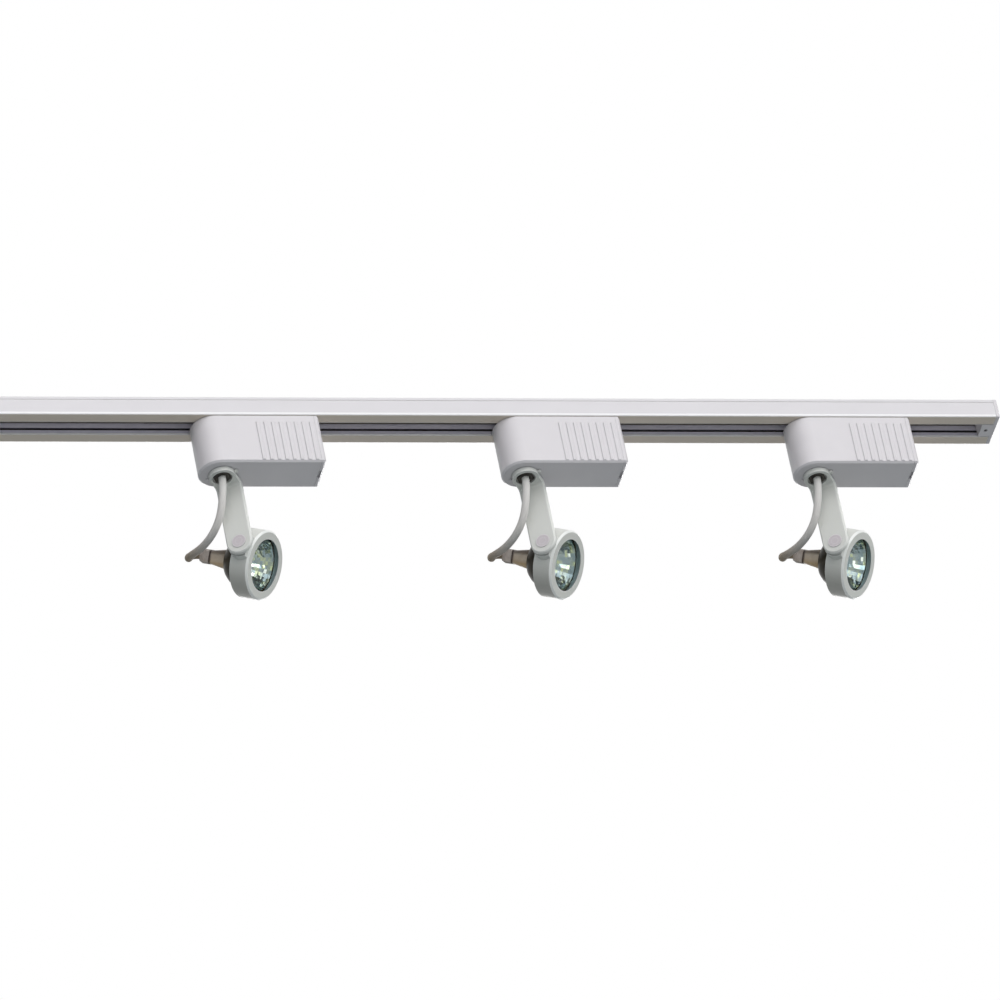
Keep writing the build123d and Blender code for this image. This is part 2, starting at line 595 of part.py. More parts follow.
# Lamp clips: three leaf springs in the ring that hold the lamp's rim
with BuildPart() as lamp_clips:
    clip_outer = RING_BORE - CLIP_PLAY
    clip_top = REFLECTOR_OUTER[2][1] + CLIP_LIFT
    clip_foot = CLIP_FOOT - RING_DEPTH / 2
    for angle in CLIP_ANGLES:
        outward = LAMP.x_dir * cos(radians(angle)) + LAMP.y_dir * sin(radians(angle))
        clip_plane = Plane(origin=LAMP_CENTRE, x_dir=outward, z_dir=outward.cross(LAMP_FORWARD))
        with BuildSketch(clip_plane):
            with BuildLine():
                Polyline(
                    (clip_outer, clip_top),
                    (clip_outer - CLIP_TOE, clip_top),
                    (clip_outer - CLIP_TOE, clip_top - CLIP_THICKNESS),
                    (clip_outer - CLIP_THICKNESS, clip_top - CLIP_THICKNESS),
                    (clip_outer - CLIP_THICKNESS, clip_foot),
                    (clip_outer, clip_foot),
                    close=True,
                )
            make_face()
        extrude(amount=CLIP_WIDTH / 2, both=True)

# Lamp reflector: a faceted glass bowl on a flat neck
with BuildPart() as lamp_reflector:
    neck = ((rectangle_corners(*NECK_ROOT), NECK_TOP), (rectangle_corners(*NECK_TIP), NECK_END))
    add(flat_sided(LAMP, neck))
    for profile, mode in ((REFLECTOR_OUTER, Mode.ADD), (REFLECTOR_INNER, Mode.SUBTRACT)):
        bowl = [(polygon_corners(radius, FACETS), height) for radius, height in profile]
        add(flat_sided(LAMP, bowl), mode=mode)
    with BuildSketch(LAMP.offset(REFLECTOR_INNER[-1][1])):
        RegularPolygon(CAPSULE_RADIUS + CAPSULE_PLAY, ROUND_SIDES)
    extrude(amount=CAPSULE_ROOT - REFLECTOR_INNER[-1][1], mode=Mode.SUBTRACT)

# Lamp glass: the flat front window
with BuildPart() as lamp_glass:
    with BuildSketch(LAMP.offset(GLASS_FRONT - GLASS_THICKNESS)):
        RegularPolygon(GLASS_RADIUS, FACETS)
    extrude(amount=GLASS_THICKNESS)

# Lamp capsule: the quartz burner and the two pins behind the neck
with BuildPart() as lamp_capsule:
    with BuildSketch(LAMP.offset(CAPSULE_ROOT + PLAY)):
        RegularPolygon(CAPSULE_RADIUS, ROUND_SIDES)
    extrude(amount=CAPSULE_TIP - CAPSULE_ROOT)
    chamfer(lamp_capsule.edges().group_by(lamp_axis)[-1], CAPSULE_RADIUS / 3)
    with BuildSketch(LAMP.offset(NECK_END - SEAT)):
        with GridLocations(PIN_SPACING, 0, 2, 1):
            RegularPolygon(PIN_RADIUS, PIN_SIDES)
    extrude(amount=-PIN_LENGTH)

# Lampholder: a ceramic block that takes the pins, tapered to its rear
with BuildPart() as lampholder:
    holder_top = NECK_END - PLAY
    holder_width, holder_height = HOLDER_FRONT
    holder_narrowing = 2 * (HOLDER_LENGTH - HOLDER_STRAIGHT) * tan(radians(HOLDER_TAPER))
    holder_front = rectangle_corners(holder_width, holder_height, HOLDER_EDGE)
    holder_rear = rectangle_corners(
        holder_width - holder_narrowing, holder_height - holder_narrowing, HOLDER_EDGE
    )
    holder = (
        (holder_front, holder_top),
        (holder_front, holder_top - HOLDER_STRAIGHT),
        (holder_rear, holder_top - HOLDER_LENGTH),
    )
    add(flat_sided(LAMP, holder))
    with BuildSketch(LAMP.offset(holder_top)):
        with GridLocations(PIN_SPACING, 0, 2, 1):
            RegularPolygon(PIN_RADIUS + PLAY, PIN_SIDES)
    extrude(amount=-PIN_POCKET, mode=Mode.SUBTRACT)

# Lead boot: the soft collar between the lampholder and the cable
with BuildPart() as lead_boot:
    with BuildSketch(LAMP.offset(holder_top - HOLDER_LENGTH)):
        RegularPolygon(BOOT_RADIUS, ROUND_SIDES)
    extrude(amount=BOOT_END - holder_top + HOLDER_LENGTH)

# Lamp cable: from inside the nipple, down past the arm and round into the boot
route = [ARM.from_local_coords(Vector(*point)) for point in CABLE_ROUTE]
route.append(LAMP.from_local_coords(Vector(0, 0, BOOT_END - CABLE_LAST_RUN)))
route.append(LAMP.from_local_coords(Vector(0, 0, BOOT_END - SEAT)))
runs = [after - before for before, after in zip(route, route[1:])]
radii = []
for before, after in zip(runs, runs[1:]):
    half_turn = radians(before.get_angle(after)) / 2
    radii.append(0.45 * min(before.length, after.length) / tan(half_turn))
with BuildPart() as lamp_cable:
    with BuildLine() as cable_path:
        FilletPolyline(*route, radius=radii)
    with BuildSketch(Plane(origin=cable_path.line @ 0, z_dir=cable_path.line % 0)):
        RegularPolygon(CABLE_RADIUS, CABLE_SIDES)
    sweep()
cable_length = sum(edge.length for edge in cable_path.edges())
print("cable length", round(cable_length, 1))
print("cable radii", [round(radius, 1) for radius in radii])

os.makedirs("parts", exist_ok=True)

track_pieces = {
    "track_channel": track_channel,
    "insulator_strips": insulator_strips,
    "bus_bars": bus_bars,
    "end_cap": end_cap,
    "live_end_feed": live_end_feed,
    "end_screws": end_screws,
}
for name, piece in track_pieces.items():
    piece.part.label = name
    export_step(piece.part, f"parts/{name}.step")

head_pieces = {
    "transformer_housing": housing,
    "housing_end_cover": end_cover,
    "track_adapter": track_adapter,
    "adapter_contacts": adapter_contacts,
    "transformer": transformer,
    "swivel_nipple": swivel_nipple,
    "swivel_nuts": swivel_nuts,
    "arm": arm,
    "pivot_rivet": pivot_rivet,
    "friction_washer": friction_washer,
    "lamp_cable": lamp_cable,
    "gimbal_ring": gimbal_ring,
    "lamp_clips": lamp_clips,
    "lamp_reflector": lamp_reflector,
    "lamp_glass": lamp_glass,
    "lamp_capsule": lamp_capsule,
    "lampholder": lampholder,
    "lead_boot": lead_boot,
}
for number, x in enumerate(HEAD_X, start=1):
    for name, piece in head_pieces.items():
        placed = piece.part.moved(Location((x, 0, 0)))
        placed.label = f"{name}_{number}"
        export_step(placed, f"parts/{name}_{number}.step")
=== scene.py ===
import json
import math
import random

import bmesh
import bpy
from mathutils import Matrix, Vector
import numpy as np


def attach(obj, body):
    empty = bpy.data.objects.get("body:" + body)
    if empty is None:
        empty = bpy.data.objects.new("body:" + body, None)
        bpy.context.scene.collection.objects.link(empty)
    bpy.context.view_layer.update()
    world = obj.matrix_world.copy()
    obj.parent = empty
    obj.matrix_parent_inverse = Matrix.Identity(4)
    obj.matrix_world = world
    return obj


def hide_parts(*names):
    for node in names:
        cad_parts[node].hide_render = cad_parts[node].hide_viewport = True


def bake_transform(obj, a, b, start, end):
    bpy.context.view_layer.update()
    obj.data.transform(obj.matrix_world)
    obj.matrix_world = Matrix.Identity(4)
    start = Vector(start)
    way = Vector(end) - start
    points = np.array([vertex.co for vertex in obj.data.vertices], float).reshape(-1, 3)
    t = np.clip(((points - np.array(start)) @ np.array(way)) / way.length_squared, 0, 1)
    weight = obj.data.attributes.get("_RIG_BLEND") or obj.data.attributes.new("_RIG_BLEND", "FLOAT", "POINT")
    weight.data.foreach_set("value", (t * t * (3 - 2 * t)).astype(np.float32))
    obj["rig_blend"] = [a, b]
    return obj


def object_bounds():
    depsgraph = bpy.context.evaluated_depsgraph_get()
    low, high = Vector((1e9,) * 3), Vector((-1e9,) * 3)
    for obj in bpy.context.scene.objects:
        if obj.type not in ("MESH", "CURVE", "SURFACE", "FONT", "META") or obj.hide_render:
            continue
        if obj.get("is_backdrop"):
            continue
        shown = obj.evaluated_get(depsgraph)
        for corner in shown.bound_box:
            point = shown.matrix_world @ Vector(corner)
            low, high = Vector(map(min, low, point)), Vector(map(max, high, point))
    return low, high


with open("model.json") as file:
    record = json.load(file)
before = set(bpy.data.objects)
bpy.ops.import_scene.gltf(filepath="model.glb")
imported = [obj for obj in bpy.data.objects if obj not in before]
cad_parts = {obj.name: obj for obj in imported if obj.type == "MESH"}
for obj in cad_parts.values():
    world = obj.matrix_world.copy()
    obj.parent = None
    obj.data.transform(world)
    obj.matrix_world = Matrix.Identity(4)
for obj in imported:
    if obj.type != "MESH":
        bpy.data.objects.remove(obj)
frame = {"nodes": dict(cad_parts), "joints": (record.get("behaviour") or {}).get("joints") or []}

CAD_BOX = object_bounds()
HEADS = (1, 2, 3)
JOINTS = {joint["name"]: joint for joint in frame["joints"]}
UP = Vector((0, 0, 1))

# Camera: below, in front and a little to the left, with a long lens
CAMERA_AZIMUTH = -19.5
CAMERA_ELEVATION = -36.0
CAMERA_ROLL = 0.05
CAMERA_DISTANCE = 9.108
CAMERA_LENS = 400.0
CAMERA_TARGET = (0.02535, 0.0147, -0.0800)
CAMERA_CLIP = 200.0

# Suns: where each comes from, its colour, its strength and its spread in degrees
SUNS = {
    "key": ((0.06, -0.87, 0.48), (1.0, 0.97, 0.98), 1.9, 75.0),
    "fill": ((0.92, -0.38, -0.1), (0.95, 1.0, 0.98), 1.35, 75.0),
    "back": ((0.45, 0.82, 0.35), (1.0, 0.98, 0.98), 1.3, 40.0),
}

# Softbox, even light and floor
SOFTBOX_FROM = (-0.7, -2.8, -1.95)
SOFTBOX_COLOUR = (0.97, 1.0, 1.0)
SOFTBOX_POWER = 11.0
SOFTBOX_SIZE = 1.0
AMBIENT = (0.86, 0.95, 1.0)
AMBIENT_STRENGTH = 0.2
FLOOR_COLOUR = (0.26, 0.285, 0.295)
FLOOR_ROUGHNESS = 0.9
FLOOR_Z = -6.4
FLOOR_SIZE = 80.0

# Sleeved cable: its route in the arm's own frame, and its tail along the lamp's axis
CABLE_DIAMETER = 0.0063
CABLE_ROUTE = [
    (0.0, 0.0, -0.0605),
    (0.0, 0.0, -0.0725),
    (-0.0034, 0.0012, -0.0875),
    (-0.0080, 0.0042, -0.0988),
    (-0.0140, 0.0078, -0.1064),
    (-0.0220, 0.0130, -0.1110),
    (-0.0325, 0.0215, -0.1112),
    (-0.0424, 0.0290, -0.1088),
    (-0.0486, 0.0342, -0.1060),
    (-0.0526, 0.0397, -0.1043),
    (-0.0539, 0.0451, -0.0982),
    (-0.0513, 0.0485, -0.0957),
]
CABLE_TAIL = (-0.0555, -0.05105)
CABLE_BEND_START = (0.0, 0.0040, -0.1100)
CABLE_BEND_END = (0.0, 0.0475, -0.1100)
CABLE_SIDES = 60
CABLE_ORDER = 3
CABLE_STEPS = 24
CABLE_STEP_LEAST = 0.00002
BRAID_STRANDS = 10
BRAID_PITCH = 0.0021
BRAID_HEIGHT = 0.00016
BRAID_UNDER = 0.55

# Lamp: its place behind the arm, then its shape in a frame with z out of its front
LAMP_OFFSET = 0.0505
TILT_REST = math.radians(32.0)
LAMP_ROLL = math.radians(26.5)
FACET_COLUMNS = 40
FACET_ROWS = 13
# Facet tints are painted reflections: dull tints up to FACET_DULL, a few white painted glints, and a dark
# painted throat
PAINTED_GLINTS = 26
FACET_DULL = 0.76
FACET_UNEVEN = 0.00018
PAINTED_GLINT_TINT = 1.0
THROAT_PAINTED_SHADE = 0.1
DISH_RADIUS = 0.0234
DISH_THROAT = 0.0060
DISH_FRONT = 0.0015
DISH_DEPTH = 0.0215
DISH_POWER = 2.6
DISH_SAMPLES = 200
BACK_PROFILE = (
    (0.0250, 0.0015),
    (0.0250, 0.0),
    (0.0236, -0.0010),
    (0.0229, -0.0070),
    (0.0214, -0.0125),
    (0.0190, -0.0180),
    (0.0155, -0.0220),
    (0.0112, -0.0245),
)
BACK_SEGMENTS = 80
NECK_ROOT = (0.0180, 0.0170, -0.0225)
NECK_TIP = (0.0145, 0.0108, -0.0410)
NECK_CORNER = 0.0022
NECK_CORNER_STEPS = 6
NECK_ROWS = 12
NECK_SPAN = 0.019
BACK_SLOT = 1
NECK_SLOT = 2

# Set screws of the track's end plugs
SCREW_X = 0.4525
SCREW_TOP = -0.00165
SCREW_BOTTOM = -0.01705
SCREW_RADIUS = 0.0015
SCREW_EDGE = 0.00025
SCREW_SEGMENTS = 24
SOCKET_APOTHEM = 0.00078
SOCKET_DEPTH = 0.0014

# Gimbal ring, along and around the lamp's axis
RING_FRONT = 0.00825
RING_RADIUS = 0.0288
RING_EDGE = 0.0014
RING_INSIDE_DEPTH = 0.0005
RING_INSIDE_RADIUS = 0.0260
RING_BLUR = 0.0003
# Painted shade on the ring's underside, a painted highlight on its front edge, and painted shade inside it
RING_PAINTED_SHADE_BELOW = (0.42, 0.41, 0.37)
RING_PAINTED_HIGHLIGHT = (0.97, 0.98, 0.95)
RING_PAINTED_SHADE_INSIDE = (0.38, 0.49, 0.51)

# Materials: a painted highlight on outer edges, dust and painted shade in corners, painted shade on the
# track's undersides, a painted highlight along the track's lower edge, and glass
# Painted highlight along outer edges: its width, tint and strength
EDGE_HIGHLIGHT_WIDTH = 0.0015
EDGE_HIGHLIGHT_TINT = (0.93, 0.93, 0.92)
EDGE_HIGHLIGHT_STRENGTH = 0.8
# Dust and painted shade in corners: the tint they turn to, how far they reach and how strong they are
ENAMEL_DIRT_AND_SHADE = {"dirt_and_shade": (0.3, 0.29, 0.3), "reach": 0.003, "strength": 0.35}
PLASTIC_DIRT_AND_SHADE = {"dirt_and_shade": (0.25, 0.24, 0.26), "reach": 0.002, "strength": 0.5}
# Painted shade, nearly black, in the slot's groove and hollows on the insulator
GROOVE_PAINTED_SHADE = {"dirt_and_shade": (0.008, 0.008, 0.012), "reach": 0.004, "strength": 1.0, "undarkened_from": 0.75}
CERAMIC_DIRT_AND_SHADE = {"dirt_and_shade": (0.2, 0.17, 0.15), "reach": 0.002, "strength": 0.6}
# Painted shade and warm reflected light on the track's undersides: a darker tan
TRACK_PAINTED_SHADE_BELOW = (0.72, 0.635, 0.54)
# Painted highlight along the track's lower front edge, between two heights
TRACK_PAINTED_HIGHLIGHT = {"tint": (0.99, 0.98, 0.99), "bottom": -0.0176, "top": -0.0158}
HIGHLIGHT_BLUR = 0.0004
HEAD_TONES = ((0.76, 0.77, 0.73), (0.73, 0.74, 0.7))
GLASS_IOR = 1.12

# Shader detail: samples, the sockets of a colour mix, and the ranges that values are read over
SHADER_SAMPLES = 6
MIX_INPUTS = (0, 6, 7)
MIX_RESULT = 2
NOISE_LOW = 0.3
NOISE_HIGH = 0.7
# Openness at which the dust and painted shade in corners is strongest, and from which there is none
DARKEST_OPENNESS = 0.35
UNDARKENED_OPENNESS = 0.95
EDGE_LIKENESS = (0.85, 0.99)
EDGE_OPENNESS = (0.7, 0.95)
DOWN_NORMAL = (-0.9, -0.4)


def arm_frame(number):
    """The matrix from an arm's own frame to the object's: y back along the tilt axis, z up."""
    swivel = JOINTS[f"arm_swivel_{number}"]["pos_m"]
    back = Vector(JOINTS[f"lamp_tilt_{number}"]["axis"]).normalized()
    along = back.cross(UP)
    rows = Matrix((along, back, UP)).transposed().to_4x4()
    return Matrix.Translation((swivel[0], 0, 0)) @ rows


def lamp_frame(number):
    """The matrix from a lamp's own frame to the object's: z out of the lamp's front."""
    pivot_z = JOINTS[f"lamp_tilt_{number}"]["pos_m"][2]
    arm = arm_frame(number)
    along, back = arm.col[0].to_3d(), arm.col[1].to_3d()
    forward = along * math.cos(TILT_REST) - UP * math.sin(TILT_REST)
    side = back * math.cos(LAMP_ROLL) + forward.cross(back) * math.sin(LAMP_ROLL)
    rows = Matrix((side, forward.cross(side), forward)).transposed().to_4x4()
    return Matrix.Translation(arm @ Vector((0, LAMP_OFFSET, pivot_z))) @ rows


def new_piece(name, mesh, materials):
    """A new object in the scene from a mesh, with its materials."""
    piece = bpy.data.objects.new(name, mesh)
    bpy.context.scene.collection.objects.link(piece)
    for material in materials:
        mesh.materials.append(material)
    return piece


def choose_shader(tree, share, first, second, output):
    """Shows one shader or the other by a share, at an output of the tree."""
    either = tree.nodes.new("ShaderNodeMixShader")
    tree.links.new(share, either.inputs["Fac"])
    tree.links.new(first, either.inputs[1])
    tree.links.new(second, either.inputs[2])
    tree.links.new(either.outputs["Shader"], tree.nodes[output].inputs["Surface"])


class Shader:
    """A new material with one Principled shader, and short calls that wire detail into it."""

    def __init__(self, name, colour, roughness, metallic=0.0):
        self.material = bpy.data.materials.new(name)
        self.material.use_nodes = True
        self.nodes = self.material.node_tree.nodes
        self.links = self.material.node_tree.links
        self.principled = self.nodes["Principled BSDF"]
        self.set("Base Color", (*colour, 1.0))
        self.set("Roughness", roughness)
        self.set("Metallic", metallic)
        coordinates = self.nodes.new("ShaderNodeTexCoord")
        self.place = coordinates.outputs["Object"]
        self.facing = coordinates.outputs["Normal"]

    def set(self, socket, value):
        """A plain value on one of the shader's own sockets."""
        self.principled.inputs[socket].default_value = value

    def wire(self, socket, value):
        """A linked value on one of the shader's own sockets."""
        self.links.new(value, self.principled.inputs[socket])

    def noise(self, scale, detail=3.0, stretch=(1, 1, 1)):
        """A noise value over the object's own coordinates, in cells per metre."""
        mapping = self.nodes.new("ShaderNodeMapping")
        mapping.inputs["Scale"].default_value = stretch
        self.links.new(self.place, mapping.inputs["Vector"])
        noise = self.nodes.new("ShaderNodeTexNoise")
        noise.inputs["Scale"].default_value = scale
        noise.inputs["Detail"].default_value = detail
        self.links.new(mapping.outputs["Vector"], noise.inputs["Vector"])
        return noise.outputs["Fac"]

    def attribute(self, name):
        """A value that the mesh carries under a name."""
        node = self.nodes.new("ShaderNodeAttribute")
        node.attribute_name = name
        return node.outputs["Fac"]

    def ramp(self, value, *stops):
        """A colour ramp over a value, as pairs of position and colour."""
        node = self.nodes.new("ShaderNodeValToRGB")
        elements = node.color_ramp.elements
        while len(elements) < len(stops):
            elements.new(0.5)
        for element, (position, colour) in zip(elements, stops):
            element.position = position
            element.color = (*colour, 1.0)
        self.links.new(value, node.inputs["Fac"])
        return node.outputs["Color"]

    def cloud(self, scale, shade, colour):
        """Soft clouds between a shade and a colour."""
        return self.ramp(self.noise(scale), (NOISE_LOW, shade), (NOISE_HIGH, colour))

    def spread(self, value, low, high, start=NOISE_LOW, end=NOISE_HIGH):
        """A value that goes from low to high as another goes from start to end."""
        node = self.nodes.new("ShaderNodeMapRange")
        numbers = {"From Min": start, "From Max": end, "To Min": low, "To Max": high}
        for socket, number in numbers.items():
            node.inputs[socket].default_value = number
        self.links.new(value, node.inputs["Value"])
        return node.outputs["Result"]

    def beyond(self, value, border, blur):
        """1 from a border on and 0 before it, over a blur that ends at the border."""
        return self.spread(value, 0.0, 1.0, border - blur, border)

    def short_of(self, value, border, blur):
        """0 from a border on and 1 before it, over a blur that ends at the border."""
        return self.spread(value, 1.0, 0.0, border - blur, border)

    def mix(self, share, colour, tint):
        """A colour that turns to a plain tint by a share."""
        node = self.nodes.new("ShaderNodeMix")
        node.data_type = "RGBA"
        share_socket, colour_socket, tint_socket = (node.inputs[index] for index in MIX_INPUTS)
        self.links.new(share, share_socket)
        self.links.new(colour, colour_socket)
        tint_socket.default_value = (*tint, 1.0)
        return node.outputs[MIX_RESULT]

    def vector(self, operation, first, second=None, output="Vector"):
        """One step of vector maths between sockets or plain vectors."""
        node = self.nodes.new("ShaderNodeVectorMath")
        node.operation = operation
        for index, value in enumerate((first, second)):
            if isinstance(value, bpy.types.NodeSocket):
                self.links.new(value, node.inputs[index])
            elif value is not None:
                node.inputs[index].default_value = value
        return node.outputs[output]

    def upward(self, vector):
        """The z of a vector."""
        split = self.nodes.new("ShaderNodeSeparateXYZ")
        self.links.new(vector, split.inputs["Vector"])
        return split.outputs["Z"]

    def both(self, first, second):
        """The product of two values."""
        node = self.nodes.new("ShaderNodeMath")
        node.operation = "MULTIPLY"
        self.links.new(first, node.inputs[0])
        self.links.new(second, node.inputs[1])
        return node.outputs["Value"]

    def rounded(self, radius):
        """The normal of the surface with its edges rounded by a radius."""
        bevel = self.nodes.new("ShaderNodeBevel")
        bevel.samples = SHADER_SAMPLES
        bevel.inputs["Radius"].default_value = radius
        return bevel.outputs["Normal"]

    def bump(self, height, strength, distance, edge=0.0):
        """Bump from a height, over edges that are rounded by a radius."""
        node = self.nodes.new("ShaderNodeBump")
        node.inputs["Strength"].default_value = strength
        node.inputs["Distance"].default_value = distance
        self.links.new(height, node.inputs["Height"])
        if edge:
            self.links.new(self.rounded(edge), node.inputs["Normal"])
        self.wire("Normal", node.outputs["Normal"])

    def openness(self, reach):
        """1 on open surfaces, and less in the corners within reach."""
        corner = self.nodes.new("ShaderNodeAmbientOcclusion")
        corner.samples = SHADER_SAMPLES
        corner.inputs["Distance"].default_value = reach
        return corner.outputs["AO"]

    def corner_dirt_and_shade(self, colour, dirt_and_shade, reach, strength, undarkened_from=UNDARKENED_OPENNESS):
        """A colour that turns darker in the corners within reach, up to this openness: dust and painted
        shade.
        """
        share = self.spread(self.openness(reach), strength, 0.0, DARKEST_OPENNESS, undarkened_from)
        return self.mix(share, colour, dirt_and_shade)

    def painted_edge_highlight(self, colour):
        """A colour that is paler along outer edges: a painted highlight."""
        flat = self.nodes.new("ShaderNodeNewGeometry").outputs["Normal"]
        likeness = self.vector("DOT_PRODUCT", self.rounded(EDGE_HIGHLIGHT_WIDTH), flat, "Value")
        edge = self.spread(likeness, EDGE_HIGHLIGHT_STRENGTH, 0.0, *EDGE_LIKENESS)
        outer = self.spread(self.openness(2 * EDGE_HIGHLIGHT_WIDTH), 0.0, 1.0, *EDGE_OPENNESS)
        return self.mix(self.both(edge, outer), colour, EDGE_HIGHLIGHT_TINT)

    def facing_down(self):
        """1 where the surface faces down, and 0 where it doesn't."""
        return self.spread(self.upward(self.facing), 1.0, 0.0, *DOWN_NORMAL)

    def painted_strip(self, colour, tint, bottom, top):
        """A colour that turns to a tint between two heights, with soft borders: a painted highlight."""
        height = self.upward(self.place)
        above = self.beyond(height, bottom, HIGHLIGHT_BLUR)
        under = self.short_of(height, top + HIGHLIGHT_BLUR, HIGHLIGHT_BLUR)
        return self.mix(self.both(above, under), colour, tint)

    def ring_painted_light(self, colour, number):
        """A gimbal ring's colour: painted shade inside and on its underside, and a painted highlight along
        its front edge.
        """
        lamp = lamp_frame(number)
        from_middle = self.vector("SUBTRACT", self.place, lamp.translation)
        forward = lamp.col[2].to_3d()
        height = self.vector("DOT_PRODUCT", from_middle, forward, "Value")
        across = self.vector("CROSS_PRODUCT", from_middle, forward)
        radius = self.vector("LENGTH", across, None, "Value")
        ring_only = self.short_of(radius, RING_RADIUS + RING_BLUR, RING_BLUR)
        edge = self.both(self.beyond(height, RING_FRONT - RING_EDGE, RING_BLUR),
                         self.beyond(radius, RING_RADIUS - RING_EDGE, RING_BLUR))
        inside = self.both(self.short_of(height, RING_FRONT - RING_INSIDE_DEPTH, RING_BLUR),
                           self.short_of(radius, RING_INSIDE_RADIUS, RING_BLUR))
        colour = self.mix(self.both(self.facing_down(), ring_only), colour, RING_PAINTED_SHADE_BELOW)
        colour = self.mix(self.both(edge, ring_only), colour, RING_PAINTED_HIGHLIGHT)
        return self.mix(inside, colour, RING_PAINTED_SHADE_INSIDE)


def enamel(name, colour, shade, roughness, edge, below=None, highlight_strip=None, ring=None):
    """Sprayed enamel: a satin coat with a faint orange peel, a painted highlight on edges, dust and painted
    shade in corners, and painted shade on undersides where given.
    """
    shader = Shader(name, colour, roughness)
    tone = shader.cloud(35.0, shade, colour)
    # Painted shade on surfaces that face down
    if below:
        tone = shader.mix(shader.facing_down(), tone, below)
    # Painted highlight along outer edges
    tone = shader.painted_edge_highlight(tone)
    # Painted highlight between two heights
    if highlight_strip:
        tone = shader.painted_strip(tone, **highlight_strip)
    # Dust and painted shade in corners
    tone = shader.corner_dirt_and_shade(tone, **ENAMEL_DIRT_AND_SHADE)
    # Painted shade and highlight on a gimbal ring
    if ring:
        tone = shader.ring_painted_light(tone, ring)
    shader.wire("Base Color", tone)
    shader.wire("Roughness", shader.spread(shader.noise(420.0), roughness - 0.05, roughness + 0.06))
    shader.bump(shader.noise(900.0, detail=2.0), strength=0.12, distance=0.0002, edge=edge)
    return shader.material


def moulded_plastic(name, colour, shade, roughness, edge, dirt_and_shade=PLASTIC_DIRT_AND_SHADE):
    """Moulded plastic with a fine spark-eroded grain, and darker in its corners: dust and painted shade."""
    shader = Shader(name, colour, roughness)
    shader.wire("Base Color", shader.corner_dirt_and_shade(shader.cloud(50.0, shade, colour), **dirt_and_shade))
    shader.wire("Roughness", shader.spread(shader.noise(700.0), roughness - 0.06, roughness + 0.08))
    shader.bump(shader.noise(2600.0, detail=2.0), strength=0.18, distance=0.0001, edge=edge)
    return shader.material


def bare_metal(name, colour, tarnish, roughness, stretch=(1, 1, 1)):
    """Bare metal with drawn scratches and a little tarnish."""
    shader = Shader(name, colour, roughness, metallic=1.0)
    shader.wire("Base Color", shader.ramp(shader.noise(160.0), (0.35, tarnish), (0.65, colour)))
    scratch = shader.noise(1500.0, detail=4.0, stretch=stretch)
    shader.wire("Roughness", shader.spread(scratch, roughness - 0.1, roughness + 0.15))
    shader.bump(scratch, strength=0.1, distance=0.0001, edge=0.0002)
    return shader.material


def braided_sleeve():
    """Woven glass-fibre sleeve, pale, with painted shade between its strands, and turning brown towards the
    lampholder with painted shade and warm reflected light.
    """
    shader = Shader("sleeve", (0.8, 0.79, 0.8), roughness=0.75)
    # Painted shade and warm reflected light turn the sleeve brown towards its lampholder end
    tone = shader.ramp(shader.attribute("painted_tip_shade"), (0.0, (0.8, 0.79, 0.76)), (0.5, (0.74, 0.71, 0.68)),
                       (0.68, (0.5, 0.44, 0.38)), (0.8, (0.33, 0.26, 0.18)))
    # Painted shade in the hollows of the braid, between its strands
    shadow = shader.spread(shader.attribute("weave"), 0.3, 0.0, start=0.0, end=0.8)
    shader.wire("Base Color", shader.mix(shadow, tone, (0.25, 0.24, 0.25)))
    shader.set("Sheen Weight", 0.15)
    shader.bump(shader.noise(5000.0, detail=2.0), strength=0.3, distance=0.0001)
    return shader.material


def facet_mirror():
    """Dichroic mirror with painted reflections: each facet a tint of its own, mostly dull, and a few white
    painted glints.
    """
    shader = Shader("facet_mirror", (0.5, 0.55, 0.5), roughness=0.12, metallic=1.0)
    tone = shader.ramp(shader.attribute("facet"), (0.0, (0.2, 0.25, 0.27)), (0.35, (0.25, 0.29, 0.3)),
                       (0.62, (0.31, 0.34, 0.28)), (0.82, (0.45, 0.47, 0.26)), (0.9, (0.97, 0.98, 0.92)))
    shader.wire("Base Color", tone)
    shader.wire("Roughness", shader.spread(shader.noise(900.0), 0.05, 0.14))
    return shader.material


def reflector_back():
    """The back of the dichroic bowl: dark brown glass."""
    shader = Shader("reflector_back", (0.05, 0.04, 0.025), roughness=0.3)
    shader.wire("Base Color", shader.cloud(180.0, (0.02, 0.017, 0.01), (0.045, 0.036, 0.02)))
    shader.set("Specular IOR Level", 0.1)
    shader.bump(shader.noise(400.0), strength=0.1, distance=0.0003)
    return shader.material


def lamp_neck():
    """The lamp's moulded neck, coloured by its height at rest: dark over the upper half, pale below the
    middle and gold at the bottom, which are painted shade and light, and a dark line at its end.
    """
    shader = Shader("lamp_neck", (0.5, 0.42, 0.34), roughness=0.35)
    # Painted shade and light by height at rest: dark above, pale below the middle, gold at the bottom
    bands = shader.ramp(shader.attribute("neck_height"), (0.1, (0.5, 0.36, 0.2)),
                        (0.26, (0.66, 0.56, 0.44)), (0.42, (0.6, 0.52, 0.43)), (0.52, (0.12, 0.1, 0.08)))
    stain = shader.spread(shader.noise(220.0), 0.3, 0.0)
    tone = shader.mix(stain, bands, (0.3, 0.21, 0.13))
    end = shader.spread(shader.attribute("neck_travel"), 0.0, 0.85, start=0.86, end=0.94)
    shader.wire("Base Color", shader.mix(end, tone, (0.07, 0.05, 0.045)))
    shader.set("Coat Weight", 0.4)
    shader.bump(shader.noise(800.0), strength=0.25, distance=0.0002)
    return shader.material


